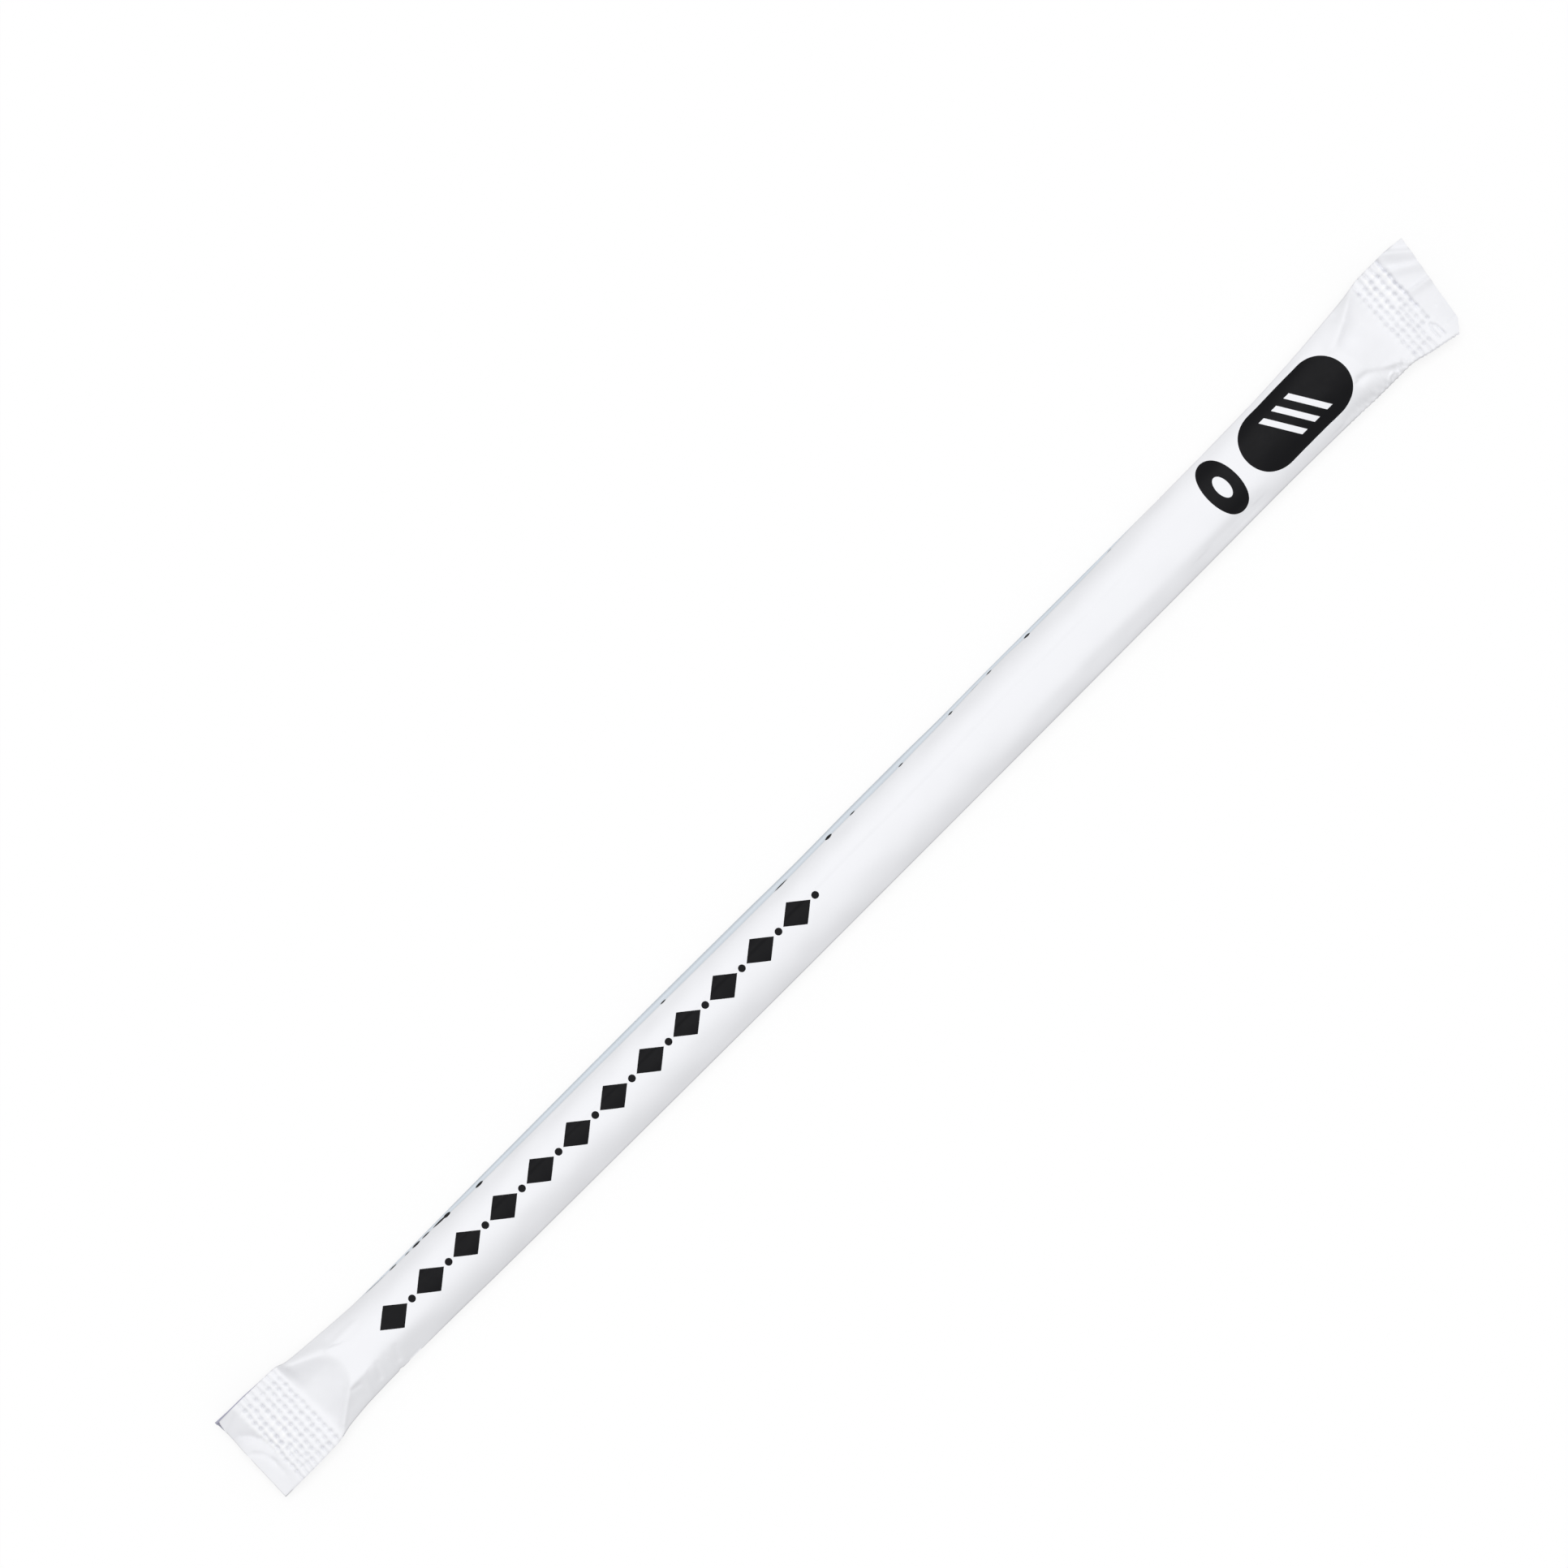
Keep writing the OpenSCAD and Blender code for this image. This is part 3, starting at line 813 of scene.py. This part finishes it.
class Nodes:
    """The node tree of a material or of the world."""

    def __init__(self, owner, output="ShaderNodeOutputMaterial"):
        owner.use_nodes = True
        self.owner = owner
        self.tree = owner.node_tree
        self.tree.nodes.clear()
        self.output = self.add(output, {})

    def feed(self, socket, value):
        """Links a value or an output to a socket, or sets the socket to a number or a colour."""
        if isinstance(value, Value):
            value = value.socket
        if isinstance(value, bpy.types.NodeSocket):
            self.tree.links.new(value, socket)
        else:
            socket.default_value = value

    def add(self, kind, settings, *values, **named):
        """Adds a node. Its settings are set first, then its sockets, by place or by name."""
        node = self.tree.nodes.new(kind)
        for key, value in settings.items():
            setattr(node, key, value)
        for place, value in enumerate(values):
            self.feed(node.inputs[place], value)
        for key, value in named.items():
            self.feed(node.inputs[key.replace("_", " ")], value)
        return node

    def value(self, socket):
        return Value(self, socket)

    def attribute(self, name):
        node = self.add("ShaderNodeAttribute", {"attribute_name": name})
        return self.value(node.outputs["Fac"])

    def noise(self, vector, scale, detail, roughness=0.5):
        sockets = {"Vector": vector, "Scale": scale, "Detail": detail, "Roughness": roughness}
        return self.value(self.add("ShaderNodeTexNoise", {}, **sockets).outputs[0])

    def mix(self, factor, first, second):
        node = self.add("ShaderNodeMix", {"data_type": "RGBA"})
        for place, value in ((MIX_FACTOR, factor), (MIX_FIRST, first), (MIX_SECOND, second)):
            self.feed(node.inputs[place], value)
        return node.outputs[MIX_RESULT]

    def on_show(self):
        """1 for the rays that show a background: those of the camera, of reflections and through glass."""
        rays = self.add("ShaderNodeLightPath", {}).outputs
        seen = self.value(rays["Is Camera Ray"])
        for kind in ("Is Glossy Ray", "Is Transmission Ray"):
            seen = seen.most(self.value(rays[kind]))
        return seen

    def finish(self, shader):
        self.tree.links.new(shader.outputs[0], self.output.inputs["Surface"])
        return self.owner


# Colours, as linear light
WHITE_PAPER = (0.925, 0.931, 0.96, 1)
SHADED_PAPER = (0.875, 0.88, 0.912, 1)
# Painted shade in the seals' pits and grooves, and painted shadow along the far seal's plain fold
SEAL_SHADE_PAPER = (0.655, 0.66, 0.69, 1)
# Painted highlight on the seals' pads and on the lap's free edge
HIGHLIGHT_PAPER = (0.985, 0.985, 0.99, 1)
# Painted shade on the tails, the bent corner and the triangle beside the near ridge
PAINTED_SHADE_PAPER = (0.845, 0.85, 0.882, 1)
STRIP_PAPER = (0.845, 0.915, 0.99, 1)
# Painted shadow in the near lap corner and on the strip beside the near tail
SHADOW_PAPER = (0.44, 0.44, 0.54, 1)
INK = (0.005, 0.005, 0.006, 1)

# Scales of the paper's noise: faint clouds, its grain and its fibres
CLOUD_SCALE = 260
GRAIN_SCALE = 900
FIBRE_SCALE = 3400

# How far the mottle, the seals' painted shade and the painted highlight on the free edge move the paper's
# colour
CLOUD_SHADE = 0.30
FIBRE_SHADE = 0.16
LEAST_SHADE = -0.1
SEAL_SHADE_SHARE = 0.55
RIM_HIGHLIGHT_SHARE = 0.6

# The finish: depth and strength of the paper's bump, its roughness, and how little it mirrors
BUMP_DEPTH = 0.05 * MM
BUMP_STRENGTH = 0.12
ROUGHNESS = 0.62
GRAIN_ROUGHNESS = 0.12
INK_SMOOTHNESS = 0.15
MIRRORING = 0.08

# Distances past the free edge, along the paper, of its painted highlight and of the strip of lower sheet
RIM = (-0.16, 0.03)
STRIP = (0.05, 2.2)

# Stretches along the sleeve of the painted highlight on the free edge and of the bluish strip, and the end of
# the painted shadow on the strip beside the near tail
RIM_ALONG = (34, 194)
STRIP_ALONG = (28, 193)
SHADOW_STRIP_END = 9.6

# Row of print: its start, the length and number of its cells, and the diamond and the dot in each one.
# A place in a cell is a share of its length.
ROW_START = 27.55
CELL = 7.65
CELLS = 12
DIAMOND_PLACE = 0.4
DIAMOND_HALF_LONG = 2.85
DIAMOND_HALF_HIGH = 2.3
DOT_PLACE = 0.9
DOT_R = 0.58

# The ring, which is narrower along the sleeve than across it
RING_X = 203.6
RING_NARROWED = 1.8
RING_R = 5.1
RING_HOLE_R = 1.9

# The badge: half the length of its straight middle, the radius of its round ends, and its three slanted
# stripes
BADGE_X = 218.9
BADGE_HALF = 5.1
BADGE_R = 5.0
STRIPE_LEAN = 0.6
STRIPE_PITCH = 2.6
STRIPE_HALF = 0.55
STRIPE_HALF_LONG = 2.9

# Dark marks beside the free edge: place, half length and half height, and how far off it their middles are
TICKS = [
    (32, 2.2, 0.12), (35.5, 0.85, 0.24), (38.4, 0.6, 0.2), (40.3, 0.85, 0.36), (42.3, 0.85, 0.26),
    (45.4, 1.7, 0.32), (46.6, 0.7, 0.5), (53.2, 0.8, 0.4), (91.5, 0.6, 0.26), (116.0, 1.4, 0.25),
    (126.0, 0.7, 0.42), (131.0, 0.6, 0.24), (141.1, 0.55, 0.24), (151.7, 0.5, 0.28), (156.7, 1.2, 0.1),
    (160.0, 0.6, 0.24), (167.8, 0.65, 0.34), (185.3, 0.5, 0.14),
]
TICK_OFF = 0.15


def distance(a, b):
    """How far a place on the paper lies from a shape's middle, from its two distances along the axes."""
    return (a * a + b * b).power(0.5)


def printed_row(along, across):
    """Mask of the row of diamonds and dots."""
    run = (along - ROW_START) / CELL
    place = run - run.whole()
    diamond = abs(place - DIAMOND_PLACE) * (CELL / DIAMOND_HALF_LONG) + abs(across) / DIAMOND_HALF_HIGH < 1
    dot = distance((place - DOT_PLACE) * CELL, across) < DOT_R
    return run.within(0, CELLS) * diamond.most(dot)


def printed_ring(along, across):
    off = distance((along - RING_X) * RING_NARROWED, across)
    return (off < RING_R) * (1 - (off < RING_HOLE_R))


def printed_badge(along, across):
    """Mask of the rounded badge, without its stripes."""
    past_core = (abs(along - BADGE_X) - BADGE_HALF).most(0)
    badge = distance(past_core, across) < BADGE_R
    stripe_x = abs(along - BADGE_X + across * STRIPE_LEAN)
    stripe = (stripe_x < STRIPE_HALF).most(abs(stripe_x - STRIPE_PITCH) < STRIPE_HALF)
    return badge * (1 - stripe * (abs(across) < STRIPE_HALF_LONG))


def dark_ticks(along, past_edge):
    mask = 0
    for place, half, height in TICKS:
        run = (along - place) / half
        rise = (past_edge - TICK_OFF) / height
        mask = (run * run + rise * rise < 1).most(mask)
    return mask


def paper_material():
    nodes = Nodes(bpy.data.materials.new("printed_paper"))
    place = nodes.add("ShaderNodeUVMap", {"uv_map": "paper"})
    axes = nodes.add("ShaderNodeSeparateXYZ", {}, place.outputs[0])
    along = nodes.value(axes.outputs[0]) / MM
    across = nodes.value(axes.outputs[1]) / MM
    past_edge = nodes.attribute("past_edge")
    painted_seal_shading = nodes.attribute("painted_seal_shading")
    spot = nodes.add("ShaderNodeTexCoord", {}).outputs["Object"]

    cloud = nodes.noise(spot, CLOUD_SCALE, 3)
    fibre = nodes.noise(spot, FIBRE_SCALE, 2, 0.7)
    grain = nodes.noise(spot, GRAIN_SCALE, 3, 0.6)

    mottle = cloud * CLOUD_SHADE + fibre * FIBRE_SHADE + LEAST_SHADE
    paper = nodes.mix(mottle, WHITE_PAPER, SHADED_PAPER)
    # Painted shade on the tails, the bent corner and the triangle beside the near ridge
    paper = nodes.mix(nodes.attribute("painted_shade"), paper, PAINTED_SHADE_PAPER)
    # Painted shade in the seals' pits and grooves, along the far plain fold and in the arch
    paper = nodes.mix((painted_seal_shading * SEAL_SHADE_SHARE).most(0), paper, SEAL_SHADE_PAPER)
    # Painted highlight on the seals' pads
    paper = nodes.mix((painted_seal_shading * -1).most(0), paper, HIGHLIGHT_PAPER)
    # Painted highlight along the lap's free edge
    rim_highlight = past_edge.within(*RIM) * along.within(*RIM_ALONG)
    paper = nodes.mix(rim_highlight * RIM_HIGHLIGHT_SHARE, paper, HIGHLIGHT_PAPER)
    strip = past_edge.within(*STRIP)
    paper = nodes.mix(strip * along.within(*STRIP_ALONG), paper, STRIP_PAPER)
    # Painted shadow on the strip beside the near tail and in the near lap corner
    shadow_strip = strip * (along < SHADOW_STRIP_END)
    paper = nodes.mix(shadow_strip.most(nodes.attribute("painted_shadow")), paper, SHADOW_PAPER)

    print_shapes = printed_row(along, across).most(printed_ring(along, across))
    print_shapes = print_shapes.most(printed_badge(along, across)) * (past_edge < 0)
    ink = print_shapes.most(dark_ticks(along, past_edge))
    colour = nodes.mix(ink, paper, INK)

    height = fibre * 0.5 + grain * 0.6 + cloud * 0.6
    bump = nodes.add("ShaderNodeBump", {}, Strength=BUMP_STRENGTH, Distance=BUMP_DEPTH, Height=height)
    roughness = ROUGHNESS + grain * GRAIN_ROUGHNESS - ink * INK_SMOOTHNESS
    shader = nodes.add(
        "ShaderNodeBsdfPrincipled", {}, Base_Color=colour, Roughness=roughness, Normal=bump.outputs[0],
        Specular_IOR_Level=MIRRORING,
    )
    return nodes.finish(shader)


# Light: an even sky and one wide, soft lamp a little towards the top of the view
SKY = 0.48
LAMP = 1.63
LAMP_TILT = math.radians(8)
LAMP_SPREAD = math.radians(35)

# The table is white wherever nothing shades it. Its glow is the share of the view that shadows don't reach.
TABLE_HALF = 3
TABLE_WHITE = 0.5
TABLE_GLOW = 0.6

# The camera looks straight down, and its view is this wide at the height of the side folds. The sleeve's
# middle lies to the right of the middle of the view, and below it.
VIEW_TURN = math.radians(45.03)
VIEW_WIDTH = 232.07 * MM
VIEW_HEIGHT = 1.2
VIEW_REACH = 20
FOLD_HEIGHT = 4 * MM
SENSOR = 36
RIGHT_OFF = 9.04 * MM
UP_OFF = -12.48 * MM
SLEEVE_MIDDLE = Vector((0.2 * MM, 0.2 * MM, 0))

VIEW_RIGHT = Vector((math.cos(VIEW_TURN), -math.sin(VIEW_TURN), 0))
VIEW_UP = Vector((math.sin(VIEW_TURN), math.cos(VIEW_TURN), 0))


def make_table():
    mesh = grid_mesh("table", 1, 1, TABLE_HALF)
    nodes = Nodes(bpy.data.materials.new("white_table"))
    surface = nodes.add("ShaderNodeBsdfDiffuse", {}, Color=(TABLE_WHITE, TABLE_WHITE, TABLE_WHITE, 1))
    lit = TABLE_WHITE * (SKY + LAMP / math.pi * math.cos(LAMP_TILT))
    glow = nodes.add("ShaderNodeEmission", {}, Strength=(1 - (1 - TABLE_GLOW) * lit) / TABLE_GLOW)
    glow_share = nodes.on_show() * TABLE_GLOW
    shader = nodes.add("ShaderNodeMixShader", {}, glow_share, surface.outputs[0], glow.outputs[0])
    mesh.materials.append(nodes.finish(shader))
    table = placed("table", mesh)


def make_light():
    world = bpy.data.worlds.new("white_room")
    bpy.context.scene.world = world
    nodes = Nodes(world, "ShaderNodeOutputWorld")
    sky = nodes.add("ShaderNodeBackground", {}, Color=(1, 1, 1, 1), Strength=SKY)
    white = nodes.add("ShaderNodeBackground", {}, Color=(1, 1, 1, 1), Strength=1.0)
    nodes.finish(nodes.add("ShaderNodeMixShader", {}, nodes.on_show(), sky.outputs[0], white.outputs[0]))

    lamp_data = bpy.data.lights.new("soft_lamp", "SUN")
    lamp_data.energy = LAMP
    lamp_data.angle = LAMP_SPREAD
    lamp = placed("soft_lamp", lamp_data)
    towards = VIEW_UP * math.sin(LAMP_TILT) + Vector((0, 0, math.cos(LAMP_TILT)))
    lamp.rotation_euler = towards.to_track_quat("Z", "Y").to_euler()


def make_camera():
    lens = bpy.data.cameras.new("overhead")
    lens.sensor_width = SENSOR
    lens.lens = SENSOR * VIEW_HEIGHT / VIEW_WIDTH
    lens.clip_end = VIEW_REACH
    camera = placed("overhead", lens)
    centre = SLEEVE_MIDDLE - VIEW_RIGHT * RIGHT_OFF - VIEW_UP * UP_OFF
    camera.location = centre + Vector((0, 0, VIEW_HEIGHT + FOLD_HEIGHT))
    camera.rotation_euler = (0, 0, -VIEW_TURN)
    bpy.context.scene.camera = camera


make_camera()
make_light()
make_table()

sleeve = make_sleeve()
sleeve.data.materials.append(paper_material())
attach(sleeve, "root")
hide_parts("wrapped_straw")

bpy.context.scene.view_settings.view_transform = "Standard"
